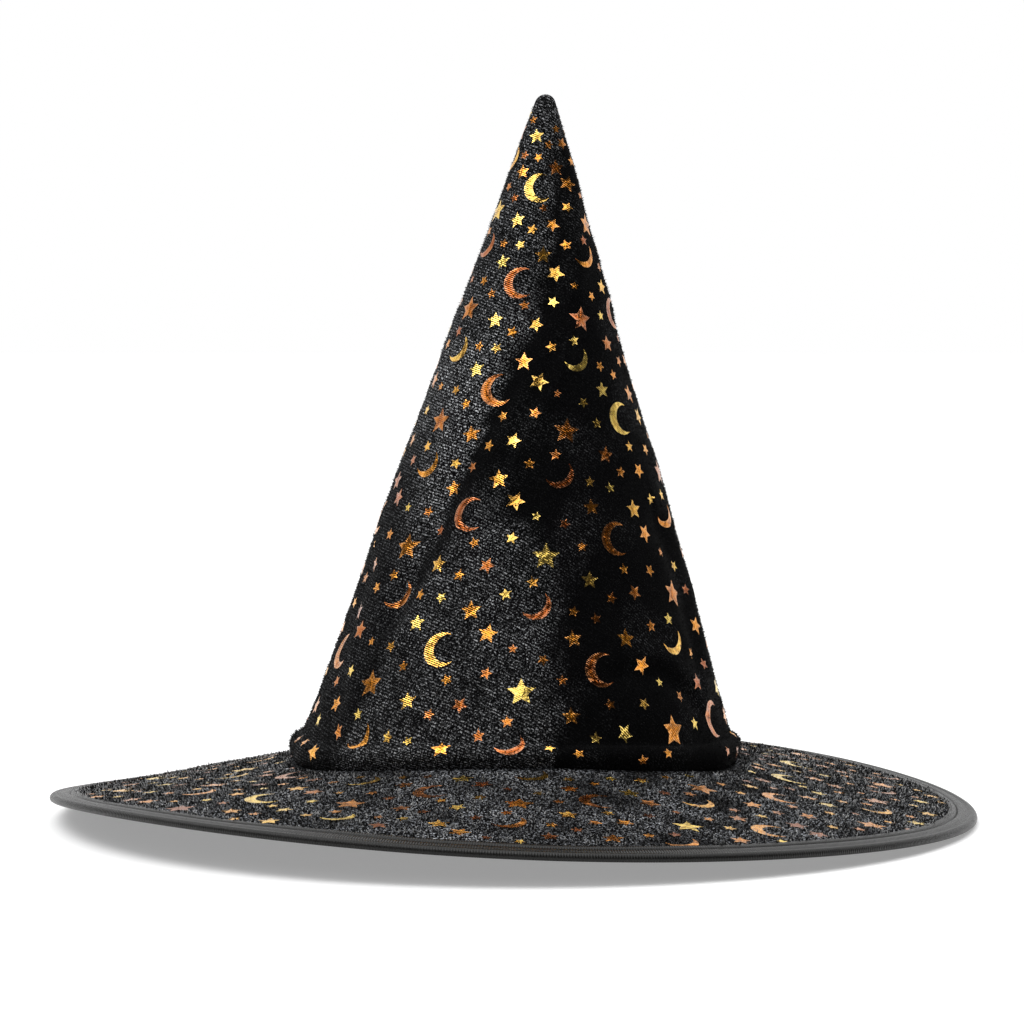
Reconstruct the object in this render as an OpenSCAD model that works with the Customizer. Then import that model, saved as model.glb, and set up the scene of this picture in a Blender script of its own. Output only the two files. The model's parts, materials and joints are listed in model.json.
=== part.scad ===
// Costume witch hat: a soft pointed cone on a wide wired brim.
// Origin: middle of the plane that the rim rests on. +Z up, -Y is the front. Millimetres.
//
// The cone is three nested shells: velvet outside, a sheet of foam that holds the shape, and a
// lining. The brim is a sandwich of velvet, stiffening board and lining cloth. Its edge is a
// steel wire hoop, closed by a crimped sleeve, inside a folded tape. Rows of thread hold it all.

/* [Brim] */
// Outside diameter of the brim, over the tape
brim_d = 390; // [340:5:440]
// Height of the brim's top surface where the cone stands on it
seam_z = 21.6; // [18:0.2:30]
// Diameter of the hoop's wire
wire_d = 1.4; // [1:0.1:2.4]
// Width of the edge tape on each face of the brim
tape_w = 12; // [9:0.5:16]

/* [Cone] */
// Height of the hat, from the plane it rests on to the tip
hat_h = 302; // [260:1:340]
// Radius of the head opening, inside the sweatband
opening_r = 89; // [84:0.5:92]
// Radius of the puffed roll of cloth round the foot of the cone
roll_r = 6; // [5.5:0.5:8]
// Radius of the blunt tip
tip_r = 4.5; // [4.5:0.5:8]

/* [Cloth] */
// Thickness of the velvet
velvet_t = 0.7; // [0.5:0.1:1]
// Thickness of the foam inside the cone
foam_t = 2; // [1.5:0.1:2.5]
// Thickness of the lining cloth and of the brim's lower cloth
lining_t = 0.3; // [0.2:0.1:0.5]
// Thickness of the brim's stiffening board
board_t = 0.8; // [0.6:0.1:1.4]
// Thickness of the edge tape
tape_t = 0.4; // [0.3:0.1:0.8]
// Thickness of the sewing thread
thread_d = 0.4; // [0.3:0.05:0.5]

/* [Sweatband and label] */
// Width of the sweatband tape
band_w = 25; // [20:1:32]
// Width of the care label
label_w = 20; // [12:1:24]
// Length of the care label below the sweatband
label_h = 12; // [8:0.5:12]

/* [Hidden] */
$fn = 96;

layer_gap = 0.1;            // air between two layers that lie on each other
band_t = 0.8;               // thickness of the sweatband
band_straight = 8;          // height of the sweatband that stands upright
label_t = 0.3;              // thickness of the label, folded double

// Radii at the opening, from the inside outwards: sweatband, the velvet's hem, the brim
hem_r = opening_r + band_t + 0.2;
hem_out_r = hem_r + velvet_t;
brim_in_r = hem_out_r + 0.2;
hem_z = seam_z - 5;         // lower edge of the hem and of the sweatband

// The roll at the cone's foot is a circle in the profile that rests on the brim
roll_x = hem_r - 0.8;
roll_z = seam_z + roll_r + 0.05;

// The cone's side is a straight line that touches the tip's ball
tip_z = hat_h - tip_r;
side_r0 = roll_x + 3.4;     // the side's radius at the height of the roll's middle
tip_rise = tip_z - roll_z;
side_angle = atan(side_r0 / tip_rise) - asin(tip_r / norm([side_r0, tip_rise]));

// Depths of the cone's layers below the velvet's surface
foam_in = velvet_t + layer_gap;
lining_in = foam_in + foam_t + layer_gap;
inside_in = lining_in + lining_t;
lining_foot_z = seam_z + 3.6;

// The brim's middle line runs from the opening down to the hoop
stack_t = velvet_t + board_t + lining_t + 2 * layer_gap;
pocket_r = max(wire_d / 2 + 0.3, stack_t / 2 + layer_gap);
bead_r = pocket_r + tape_t;                 // radius of the tape where it wraps the wire
hoop_r = brim_d / 2 - bead_r;
hoop_z = bead_r - 0.15;                     // the bead is pressed flat where it rests
brim_angle = atan((seam_z - stack_t / 2 - hoop_z) / (hoop_r - brim_in_r));
brim_length = (hoop_r - brim_in_r) / cos(brim_angle);
brim_edge = wire_d / 2 + 0.5;               // the layers end this far from the wire's middle
stitch_in = 8.4;                            // distance of the tape's stitches from the rim

sleeve_half_angle = 5;
wire_gap_half_angle = 0.3;
sleeve_t = 0.15;

VELVET = "#16171a";
FOAM = "#3a3a3c";
LINING = "#222224";
BOARD = "#2c2b2a";
STEEL = "#8a8c90";
TAPE = "#3b3b39";
THREAD = "#0e0e0f";
LABEL = "#e6e4dc";

// Radius of the cone's side at a height, at a depth below the velvet's surface
function side_r(z, depth) = side_r0 - (z - roll_z) * tan(side_angle) - depth / cos(side_angle);

// Half of the cone's profile, at a depth, from a height up to the rounded tip
module cone_half(depth, foot_z) {
    ball_r = max(0.3, tip_r - depth);
    intersection() {
        union() {
            translate([0, tip_z]) circle(r = ball_r);
            polygon([[0, foot_z], [side_r(foot_z, depth), foot_z],
                [ball_r * cos(side_angle), tip_z + ball_r * sin(side_angle)], [0, tip_z]]);
        }
        square([brim_d, hat_h]);
    }
}

// The same with the roll at its foot
module cone_and_roll(depth) {
    cone_half(depth, roll_z);
    translate([roll_x, roll_z]) circle(r = roll_r - depth);
}

// The velvet goes round the roll and turns down into the opening as a hem
module cone_velvet() {
    color(VELVET)
        rotate_extrude()
            difference() {
                union() {
                    cone_and_roll(0);
                    translate([hem_r, hem_z]) square([velvet_t, roll_z - hem_z]);
                }
                cone_and_roll(velvet_t);
                square([hem_r, roll_z + 1]);
            }
}

// The foam fills the roll and ends above the seam
module cone_foam() {
    color(FOAM)
        rotate_extrude()
            difference() {
                cone_and_roll(foam_in);
                cone_and_roll(foam_in + foam_t);
                square([roll_x, roll_z + 1]);
                square([brim_d, roll_z - roll_r / 2]);
            }
}

// The lining hangs straight from the tip and tucks in behind the sweatband
module cone_lining() {
    color(LINING)
        rotate_extrude()
            difference() {
                cone_half(lining_in, lining_foot_z);
                cone_half(inside_in, lining_foot_z - 1);
            }
}

// A straight row of thread up the cone's side at the back, at a depth
module side_thread(depth, d, low_z, high_z) {
    low_r = side_r(low_z, depth);
    translate([0, low_r, low_z])
        rotate([side_angle, 0, 0])
            cylinder(h = (high_z - low_z) / cos(side_angle), d = d, $fn = 16);
}

module cone_seam_thread() {
    color(THREAD) side_thread(-thread_d / 2 - 0.05, thread_d, roll_z + roll_r + 2, tip_z - 8);
}

module lining_seam_thread() {
    fold_d = 1;             // the lining's seam stands up as a narrow fold
    color(THREAD)
        side_thread(inside_in + fold_d / 2 + layer_gap, fold_d, hem_z + band_w + 2, tip_z - 30);
}

// Places a profile on the brim's middle line: X runs outwards to the wire, Y upwards
module on_brim_line() {
    rotate_extrude() translate([hoop_r, hoop_z]) rotate(-brim_angle) children();
}

module brim_layer(low, thickness) {
    on_brim_line() translate([-brim_length, low]) square([brim_length - brim_edge, thickness]);
}

module brim_top_velvet() {
    color(VELVET) brim_layer(stack_t / 2 - velvet_t, velvet_t);
}

module brim_board() {
    color(BOARD) brim_layer(-stack_t / 2 + lining_t + layer_gap, board_t);
}

module brim_underside() {
    color(LINING) brim_layer(-stack_t / 2, lining_t);
}

// The wire's two ends meet inside the sleeve, at the back
module brim_hoop() {
    color(STEEL)
        translate([0, 0, hoop_z])
            rotate([0, 0, 90 + wire_gap_half_angle])
                rotate_extrude(angle = 360 - 2 * wire_gap_half_angle)
                    translate([hoop_r, 0]) circle(d = wire_d);
}

module hoop_sleeve() {
    bore_r = wire_d / 2 + 0.05;
    color(STEEL)
        translate([0, 0, hoop_z])
            rotate([0, 0, 90 - sleeve_half_angle])
                rotate_extrude(angle = 2 * sleeve_half_angle)
                    translate([hoop_r, 0])
                        difference() {
                            circle(r = bore_r + sleeve_t);
                            circle(r = bore_r);
                        }
}

// The tape is folded round the wire and lies flat on both faces of the brim
module tape_section() {
    leg = (tape_w - bead_r) / cos(brim_angle);
    pocket_h = stack_t + 2 * layer_gap;
    difference() {
        union() {
            circle(r = bead_r);
            translate([-leg, -pocket_h / 2 - tape_t]) square([leg, pocket_h + 2 * tape_t]);
        }
        circle(r = pocket_r);
        translate([-leg - 1, -pocket_h / 2]) square([leg + 1, pocket_h]);
    }
}

module edge_binding() {
    color(TAPE)
        rotate_extrude()
            intersection() {
                translate([hoop_r, hoop_z]) rotate(-brim_angle) tape_section();
                square([brim_d, hat_h]);
            }
}

// A row of stitches on the tape: side is 1 on the upper face and -1 on the lower
module tape_thread(side) {
    out = stack_t / 2 + layer_gap + tape_t + thread_d / 2 + 0.05;
    in = (stitch_in - bead_r) / cos(brim_angle);
    on_brim_line() translate([-in, side * out]) circle(d = thread_d);
}

module binding_thread_top() {
    color(THREAD) tape_thread(1);
}

module binding_thread_under() {
    color(THREAD) tape_thread(-1);
}

// The seam that joins cone and brim shows underneath, beside the hem
module crown_seam_thread() {
    clear = thread_d / 2 + 0.08;
    color(THREAD)
        rotate_extrude()
            translate([hem_out_r + clear, seam_z - stack_t - clear - 0.1]) circle(d = thread_d);
}

// The sweatband stands upright where the head passes, then leans in with the lining
module sweatband() {
    knee_z = hem_z + band_straight;
    top_z = hem_z + band_w;
    top_r = side_r(top_z, inside_in) - 0.2;
    color(TAPE)
        rotate_extrude()
            polygon([[opening_r, hem_z], [opening_r + band_t, hem_z],
                [opening_r + band_t, knee_z], [top_r, top_z],
                [top_r - band_t, top_z], [opening_r, knee_z]]);
}

band_middle_r = opening_r + band_t / 2;
band_thread_z = hem_z - thread_d / 2 - 0.05;

module sweatband_thread() {
    color(THREAD)
        rotate_extrude() translate([band_middle_r, band_thread_z]) circle(d = thread_d);
}

// The label is caught in the sweatband's lower seam at the back and hangs free
module care_label() {
    top_z = band_thread_z - thread_d / 2 - 0.4;
    color(LABEL)
        translate([-label_w / 2, band_middle_r - label_t / 2, top_z - label_h])
            cube([label_w, label_t, label_h]);
}

cone_velvet();
cone_foam();
cone_lining();
cone_seam_thread();
lining_seam_thread();
brim_top_velvet();
brim_board();
brim_underside();
brim_hoop();
hoop_sleeve();
edge_binding();
binding_thread_top();
binding_thread_under();
crown_seam_thread();
sweatband();
sweatband_thread();
care_label();
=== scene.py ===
# %% [markdown]
# # A witch hat
#
# This is a soft costume hat: a pointed cone of printed velvet on a wide brim with a wire in its
# edge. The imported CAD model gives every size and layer, as if the hat had just been sewn and
# pressed. Here each layer of cloth is made again with the shape that it takes in use: the cone
# leans and has creases, the roll at its foot puffs out, and the wire lets the brim wave. Then
# come the foil stars and moons, the single stitches, and the finish of each cloth.

# %% Load the frame
import json
import math
from contextlib import contextmanager

import bpy
import numpy as np
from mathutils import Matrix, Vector
from mathutils.bvhtree import BVHTree


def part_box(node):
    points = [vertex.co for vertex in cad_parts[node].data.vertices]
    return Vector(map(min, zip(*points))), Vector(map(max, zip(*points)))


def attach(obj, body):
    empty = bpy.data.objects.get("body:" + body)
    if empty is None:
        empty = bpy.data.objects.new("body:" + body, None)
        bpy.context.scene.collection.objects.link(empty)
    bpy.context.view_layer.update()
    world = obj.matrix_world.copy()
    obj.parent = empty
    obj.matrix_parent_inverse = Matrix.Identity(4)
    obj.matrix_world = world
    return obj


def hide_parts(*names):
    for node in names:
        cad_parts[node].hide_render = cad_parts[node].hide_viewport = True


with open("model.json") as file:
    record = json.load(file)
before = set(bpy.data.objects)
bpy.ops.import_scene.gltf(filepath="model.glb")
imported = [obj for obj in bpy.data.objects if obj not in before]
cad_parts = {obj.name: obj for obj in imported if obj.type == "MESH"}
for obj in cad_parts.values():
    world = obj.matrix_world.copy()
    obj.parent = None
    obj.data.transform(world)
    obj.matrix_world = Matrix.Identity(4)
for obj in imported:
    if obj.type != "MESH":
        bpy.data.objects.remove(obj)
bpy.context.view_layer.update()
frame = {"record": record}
MM = 0.001

# %% [markdown]
# ## Sizes from the frame
#
# Every size that the CAD model has is read from it, so the cloth fits if the design changes.
# Only what the design doesn't hold is given here, such as the length of a stitch.

# %% Sizes
rim_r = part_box("edge_binding")[1].x                 # the brim's outside radius
tip_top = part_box("cone_velvet")[1].z
roll_out_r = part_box("cone_velvet")[1].x
seam_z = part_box("brim_top_velvet")[1].z             # the brim's top beside the cone
hem_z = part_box("cone_velvet")[0].z
band_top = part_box("sweatband")[1].z
opening_r = frame["record"]["mounts"][0]["dims"]["r_mm"] * MM
brim_in_r = opening_r + 1.9 * MM
tape_in_r = rim_r - 12 * MM                         # inner edge of the tape
stitch_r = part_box("binding_thread_top")[1].x - 0.2 * MM
wire_z = (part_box("brim_hoop")[0].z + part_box("brim_hoop")[1].z) / 2
wire_r = (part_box("brim_hoop")[1].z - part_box("brim_hoop")[0].z) / 2
hoop_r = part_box("brim_hoop")[1].x - wire_r
roll_r = 6 * MM
roll_x = roll_out_r - roll_r                        # the roll's middle, out from the axis
roll_z = seam_z + roll_r
tip_r = 4.5 * MM
foot_r = roll_x + 3.4 * MM                          # the cone's side, level with the roll
rise = tip_top - tip_r - roll_z
side_angle = math.atan(foot_r / rise) - math.asin(tip_r / math.hypot(foot_r, rise))
apex_z = roll_z + foot_r / math.tan(side_angle)     # where the side would meet the axis
brim_slope = (seam_z - 1 * MM - wire_z) / (hoop_r - brim_in_r)
velvet_t = 0.7 * MM
print(f"rim {rim_r:.4f} m, tip {tip_top:.4f} m, side {math.degrees(side_angle):.2f} degrees")

# %% [markdown]
# ## Camera
#
# A product shot from a little above the brim, with a long lens from a metre and a half away. The
# long lens keeps the cone's sides straight and the brim's front and back nearly the same size.

# %% Camera
camera_data = bpy.data.cameras.new("camera")
camera = bpy.data.objects.new("camera", camera_data)
bpy.context.scene.collection.objects.link(camera)
camera_data.sensor_width = 36
camera_data.lens = 124
camera.location = (0, -1.5, 0.217)
camera.rotation_euler = (math.radians(90 - 3.32), 0, math.radians(0.06))
bpy.context.scene.camera = camera
print("camera at", tuple(round(v, 3) for v in camera.location))

# %% [markdown]
# ## How the hat settles
#
# A sewn hat is never the cone and disc of its pattern. Rather than bend each layer apart, one
# function moves any point of the pressed hat to where it lies on the settled one. All layers,
# the wire, the stitches and the foil pass through it, so they stay together as on the real hat.
#
# The wire takes a slow wave, as a hoop does that was folded in its packet. The seam at the
# cone's foot follows it a little. The tip leans to the right and back.

# %% The wave of the brim and the lean of the cone
LIFT = 5.5 * MM                 # so that the lowest part of the waving rim rests on the floor
LEAN = Vector((12.7, 8.0)) * MM
BRIM_START = 94 * MM            # where the brim comes out from under the roll
SADDLE = 4.7 * MM               # how far the head opening rises at the front and back


def rim_wave(angle):
    """Height of the settled rim over the pressed one. Angle 0 is on the right, and -90 in front."""
    return MM * (7.0 - 2.3 * np.cos(angle) - 3.0 * np.sin(angle)
                 - 2.7 * np.cos(2 * angle) + 4.4 * np.sin(2 * angle)
                 - 0.9 * np.cos(3 * angle) - 1.75 * np.sin(3 * angle))


def rim_growth(angle):
    """How far the hoop stands out from a true circle."""
    return MM * (2.0 * np.cos(2 * angle) - 0.9 * np.cos(angle) + 0.6 * np.sin(angle))


def smooth(value, low, high):
    """0 below low, 1 above high, and an even curve between."""
    t = np.clip((value - low) / (high - low), 0, 1)
    return t * t * (3 - 2 * t)


def uneven(points, size, seed):
    """Soft unevenness of about -1 to 1 with bumps of that size, from waves that cross at random."""
    draw = np.random.default_rng(seed)
    total = np.zeros(len(points))
    waves = 14
    for _ in range(waves):
        direction = draw.normal(size=3)
        direction *= 2 * math.pi / (np.linalg.norm(direction) * size * draw.uniform(0.7, 1.8))
        total += np.sin(points @ direction + draw.uniform(0, 2 * math.pi))
    return total / math.sqrt(waves)


# %% [markdown]
# Velvet over thin foam dents and folds where it has been gripped. Two long folds run down the
# front of the cone. Each fold is a line on the cloth while it still lies flat as a pattern: the
# distance across from the middle of the front, and the distance down from the point. A fold is a
# valley with a low ridge beside it, which is how foam buckles.

# %% Folds and dents in the cone
FOLDS = [
    # line down the cloth in millimetres (across, down), depth, width, side of its ridge
    ([(3, 30), (5, 70), (5, 100), (-6, 125), (-18, 150), (-33, 180), (-46, 208), (-60, 232)], 3.2, 7, 1),
    ([(17, 112), (14, 126), (8, 142), (0, 158), (-6, 176), (-14, 196)], -1.5, 3.2, -1),
    ([(70, 190), (84, 214), (92, 240)], 2.0, 7, 1),
    ([(40, 262), (62, 256), (86, 262)], 1.8, 5, 1),
    ([(-88, 205), (-98, 232), (-92, 262)], 1.5, 8, 1),
    ([(-140, 130), (-120, 175), (-135, 230)], 2.0, 9, -1),
    ([(150, 120), (128, 170), (140, 225)], 2.2, 9, 1),
]


def on_cloth(angle, z):
    """Where a point of the cone lies on the flat pattern: across from the front's middle, and down."""
    down = (apex_z - z) / math.cos(side_angle)
    turn = np.arctan2(np.sin(angle + math.pi / 2), np.cos(angle + math.pi / 2)) * math.sin(side_angle)
    return down * np.sin(turn), down * np.cos(turn)


def distance_to_line(x, y, line):
    """Distance to a broken line, positive on its right as one goes down it."""
    best = np.full(len(x), 1e9)
    side = np.zeros(len(x))
    for (x0, y0), (x1, y1) in zip(line, line[1:]):
        dx, dy = x1 - x0, y1 - y0
        t = np.clip(((x - x0) * dx + (y - y0) * dy) / (dx * dx + dy * dy), 0, 1)
        away_x, away_y = x - x0 - t * dx, y - y0 - t * dy
        far = np.hypot(away_x, away_y)
        nearer = far < best
        best = np.where(nearer, far, best)
        side = np.where(nearer, np.sign(away_x * dy - away_y * dx), side)
    return best * side


def dents(angle, z):
    """How far the cone's cloth is pushed in, in metres."""
    x, y = on_cloth(angle, z)
    x, y = x / MM, y / MM
    depth = np.zeros(len(x))
    for line, deep, wide, ridge_side in FOLDS:
        far = distance_to_line(x, y, line)
        depth += deep * np.exp(-(far / wide) ** 2)
        depth -= 0.45 * deep * np.exp(-((far - ridge_side * 1.7 * wide) / wide) ** 2)
    fade = smooth(y, 22, 60) * (1 - smooth(y, 268, 286))
    return depth * fade * MM


# %% [markdown]
# The roll is the velvet's fullness, pushed up where cone and brim are sewn together. It puffs
# out more in some places than in others, and it is pinched at each side of the head.

# %% The settled shape
def settle(points):
    """Moves points of the pressed hat, an (n, 3) array in metres, to the settled hat."""
    p = np.array(points, float)
    x, y, z = p.T
    r = np.hypot(x, y)
    angle = np.arctan2(y, x)
    out = np.stack([np.cos(angle), np.sin(angle)])

    # the roll puffs away from its own middle
    ring = np.stack([r - roll_x, z - roll_z])
    from_middle = np.hypot(*ring)
    on_roll = smooth(from_middle, 0.55 * roll_r, 0.8 * roll_r)
    on_roll *= 1 - smooth(from_middle, 1.3 * roll_r, 2.2 * roll_r)
    on_roll *= smooth(z, seam_z - 1 * MM, seam_z + 2 * MM) * (z > seam_z - 0.5 * MM)
    flat = np.stack([x, y, 0 * z], 1)
    puff = 0.12 * uneven(flat, 62 * MM, 3) + 0.08 * uneven(flat, 26 * MM, 4)
    puff += 0.30 * np.cos(angle) ** 6 - 0.20
    r = r + ring[0] * puff * on_roll
    z = z + ring[1] * puff * on_roll * 0.8

    # the cone dents, and isn't quite round
    on_cone = smooth(z, seam_z + 9 * MM, seam_z + 20 * MM)
    soft = 0.55 * MM * uneven(p, 48 * MM, 1) + 0.22 * MM * uneven(p, 17 * MM, 2)
    soft *= smooth(r, 4 * MM, 25 * MM)
    r = r - (dents(angle, z) + soft) * on_cone * smooth(r, 1 * MM, 8 * MM)

    # the brim waves with its wire
    share = np.clip((r - BRIM_START) / (hoop_r - BRIM_START), 0, 1.02)
    crown = LIFT - SADDLE * np.cos(2 * angle) * np.exp(-np.maximum(z - seam_z, 0) / (45 * MM))
    brim_soft = 0.5 * MM * uneven(flat, 55 * MM, 5) * np.sin(math.pi * np.clip(share, 0, 1))
    flare = 2.2 * MM * np.exp(-np.maximum(r - BRIM_START, 0) / (9 * MM))
    flare *= (r > BRIM_START) * np.abs(np.cos(angle)) ** 3
    z = z + crown * (1 - share) + rim_wave(angle) * share + brim_soft + flare * smooth(share, 0, 0.03)
    r = r + rim_growth(angle) * share

    # the cone leans
    up = np.clip((z - LIFT - seam_z) / (tip_top - seam_z), 0, 1.1)
    return np.stack([r * out[0] + LEAN[0] * up, r * out[1] + LEAN[1] * up, z], 1)


print("settled tip:", settle([(0, 0, tip_top)])[0].round(4))

# %% [markdown]
# ## Making a sheet of cloth
#
# Each layer is a sheet that goes once round the hat. By hand one draws its profile as a row of
# points and spins it round the axis, so that is what this helper does. The flat position of each
# corner on the cloth goes into the UV map, in metres, so a weave can follow the cloth. Then the
# mesh settles, and Solidify gives the cloth its thickness.

# %% Helpers for sheets
def alone(piece):
    """Makes a piece the only selected object."""
    bpy.ops.object.select_all(action="DESELECT")
    piece.select_set(True)
    bpy.context.view_layer.objects.active = piece


@contextmanager
def editing(piece):
    """Edit mode on one piece with all of it selected, then object mode again."""
    alone(piece)
    bpy.ops.object.mode_set(mode="EDIT")
    bpy.ops.mesh.select_all(action="SELECT")
    yield
    bpy.ops.object.mode_set(mode="OBJECT")


def shade(piece, degrees):
    """Smooth shading, with a sharp edge where faces meet at more than this angle."""
    alone(piece)
    bpy.ops.object.shade_smooth_by_angle(angle=math.radians(degrees))


def thicken(piece, thickness, offset=0):
    """Solidifies a sheet and shades it. Offset 0 keeps it in the middle, -1 puts it on the outside."""
    solidify = piece.modifiers.new("thickness", "SOLIDIFY")
    solidify.thickness = thickness
    solidify.offset = offset
    alone(piece)
    bpy.ops.object.modifier_apply(modifier=solidify.name)
    shade(piece, 60)


def spin_round(steps, angle, distance):
    """In edit mode, spins what is selected round the axis, merges doubles and turns faces outwards."""
    bpy.ops.mesh.spin(steps=steps, angle=angle, center=(0, 0, 0), axis=(0, 0, 1))
    bpy.ops.mesh.select_all(action="SELECT")
    bpy.ops.mesh.remove_doubles(threshold=distance)
    bpy.ops.mesh.normals_make_consistent(inside=False)


def turn_over(piece):
    with editing(piece):
        bpy.ops.mesh.flip_normals()


def give_values(piece, name, values):
    """Stores one value for each point of a piece, for its material to read."""
    attribute = piece.data.attributes.new(name, "FLOAT", "POINT")
    attribute.data.foreach_set("value", values)


def new_piece(name, co, faces):
    mesh = bpy.data.meshes.new(name)
    mesh.from_pydata(co.tolist(), [], faces)
    piece = bpy.data.objects.new(name, mesh)
    bpy.context.scene.collection.objects.link(piece)
    return piece


def new_grid(name, columns, rows):
    """A flat grid one metre wide, to be bent into a strip of cloth."""
    bpy.ops.object.select_all(action="DESELECT")
    bpy.ops.mesh.primitive_grid_add(x_subdivisions=columns, y_subdivisions=rows, size=1)
    bpy.context.object.name = name
    return bpy.context.object


def coordinates(piece):
    co = np.empty(len(piece.data.vertices) * 3)
    piece.data.vertices.foreach_get("co", co)
    return co.reshape(-1, 3)


def move_to(piece, co):
    piece.data.vertices.foreach_set("co", np.asarray(co, float).ravel())
    piece.data.update()


def spun(name, profile, steps):
    """Draws a profile of (radius, height) points behind the hat and spins it once round the axis."""
    bpy.ops.object.select_all(action="DESELECT")
    bpy.ops.mesh.primitive_plane_add(size=1 * MM)
    piece = bpy.context.object
    piece.name = name
    with editing(piece):
        bpy.ops.mesh.merge(type="CENTER")
        bpy.ops.transform.translate(value=(0, profile[0][0], profile[0][1]))
        for (r0, z0), (r1, z1) in zip(profile, profile[1:]):
            bpy.ops.mesh.extrude_region_move(TRANSFORM_OT_translate={"value": (0, r1 - r0, z1 - z0)})
        bpy.ops.mesh.select_all(action="SELECT")
        spin_round(steps, 2 * math.pi, 0.002 * MM)
    return piece


def face_towards(piece, direction):
    """Turns all faces over if the outermost one in a direction doesn't face that way."""
    direction = Vector(direction)
    outermost = max(piece.data.polygons, key=lambda f: f.center.dot(direction))
    if outermost.normal.dot(direction) < 0:
        turn_over(piece)


def lay_uv(piece, place):
    """Writes each corner's place on the flat cloth. place takes angles from the front and points."""
    mesh = piece.data
    co = coordinates(piece)
    corner_vertex = np.empty(len(mesh.loops), int)
    mesh.loops.foreach_get("vertex_index", corner_vertex)
    per_face = np.empty(len(mesh.polygons), int)
    mesh.polygons.foreach_get("loop_total", per_face)
    middle = np.empty(len(mesh.polygons) * 3)
    mesh.polygons.foreach_get("center", middle)
    middle = np.repeat(middle.reshape(-1, 3), per_face, axis=0)
    own = co[corner_vertex]
    # angle from the front, kept on the same side of the back seam as the face's middle
    base = np.arctan2(middle[:, 0], -middle[:, 1])
    turn = np.arctan2(own[:, 0], -own[:, 1]) - base
    turn = base + np.arctan2(np.sin(turn), np.cos(turn))
    turn = np.where(np.hypot(own[:, 0], own[:, 1]) < 1e-5, base, turn)
    layer = mesh.uv_layers.get("cloth") or mesh.uv_layers.new(name="cloth")
    layer.data.foreach_set("uv", np.asarray(place(turn, own)).T.ravel())


def cone_place(turn, own):
    down = (apex_z - own[:, 2]) / math.cos(side_angle)
    flat_turn = turn * math.sin(side_angle)
    return down * np.sin(flat_turn), -down * np.cos(flat_turn)


def brim_place(turn, own):
    r = np.hypot(own[:, 0], own[:, 1])
    return r * np.sin(turn), -r * np.cos(turn)


def tape_place(turn, own):
    r = np.hypot(own[:, 0], own[:, 1])
    return turn / (2 * math.pi), r + own[:, 2]


def finish_sheet(piece, thickness, direction, place):
    """UV map, settled shape, thickness and smooth shading for a spun sheet."""
    face_towards(piece, direction)
    lay_uv(piece, place)
    move_to(piece, settle(coordinates(piece)))
    thicken(piece, thickness, -1)
    print(f"{piece.name}: {len(piece.data.polygons)} faces")


def resampled(profile, step):
    """The same profile with points no more than step apart."""
    points = [profile[0]]
    for start, end in zip(profile, profile[1:]):
        pieces = max(1, math.ceil(math.dist(start, end) / step))
        for k in range(1, pieces + 1):
            t = k / pieces
            points.append((start[0] + (end[0] - start[0]) * t, start[1] + (end[1] - start[1]) * t))
    return points


def arc(middle_r, middle_z, radius, start, end, count):
    """Points of an arc of the profile, with its angles in degrees."""
    angles = np.radians(np.linspace(start, end, count))
    return [(middle_r + radius * math.cos(a), middle_z + radius * math.sin(a)) for a in angles]


# %% [markdown]
# ## Velvet of the cone
#
# The outer cloth starts at the blunt tip, runs straight down the side, goes round the roll and
# turns down into the head opening as a hem. The layers inside it repeat the same profile at
# their own depth below its surface, so one function draws all of them.

# %% Cone profiles
def side_radius(z, depth):
    return foot_r - (z - roll_z) * math.tan(side_angle) - depth / math.cos(side_angle)


def cone_profile(depth, roll_end, step):
    """From the tip down the side and round the roll to an angle, at a depth below the velvet's surface."""
    ball = max(tip_r - depth, 0.3 * MM)
    inner = roll_r - depth
    gap = (side_radius(roll_z, depth) - roll_x) * math.cos(side_angle)
    meet = math.degrees(side_angle) + math.degrees(math.acos(max(-1, min(1, gap / inner))))
    top = arc(0, tip_top - tip_r, ball, 90, math.degrees(side_angle), 6)
    top[0] = (0, top[0][1])
    foot = arc(roll_x, roll_z, inner, meet, roll_end, 22)
    return resampled(top + foot, step)


hem_in_r = opening_r + 1 * MM
velvet_profile = cone_profile(0, -74, 1.95 * MM)
velvet_profile += [(hem_in_r + velvet_t, seam_z - 1 * MM), (hem_in_r + velvet_t, hem_z)]
cone_velvet = spun("cone_velvet_cloth", velvet_profile, 288)
finish_sheet(cone_velvet, velvet_t, (0, 0, 1), cone_place)

# %% [markdown]
# ## Foam and lining of the cone
#
# The foam gives the cone its body and fills the roll. The lining hangs straight inside it and
# tucks in behind the sweatband. Both are coarser meshes, because only the lining is ever seen,
# and only from below.

# %% Foam and lining
foam_depth = velvet_t + 0.15 * MM
foam = spun("cone_foam_sheet", cone_profile(foam_depth, -55, 4 * MM), 180)
finish_sheet(foam, 1.9 * MM, (0, 0, 1), cone_place)

lining_depth = velvet_t + 2.3 * MM
lining_foot = seam_z + 3.6 * MM
lining_profile = arc(0, tip_top - tip_r, tip_r - lining_depth, 90, math.degrees(side_angle), 5)
lining_profile[0] = (0, lining_profile[0][1])
lining_profile = resampled(lining_profile + [(side_radius(lining_foot, lining_depth), lining_foot)], 3.5 * MM)
lining = spun("cone_lining_cloth", lining_profile, 200)
finish_sheet(lining, 0.3 * MM, (0, 0, 1), cone_place)

# %% [markdown]
# ## The brim's three layers
#
# Velvet, board and lining cloth are rings that slope from the cone's seam down to the wire. In
# the CAD model they are flat cones, a tenth of a millimetre apart. Under the tape the layers are
# pressed together, so here they thin out slightly towards the edge.

# %% Brim layers
def brim_height(r, above):
    """Height of a point of the pressed brim, at a distance above its middle line."""
    return wire_z + (hoop_r - r) * brim_slope + above


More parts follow.
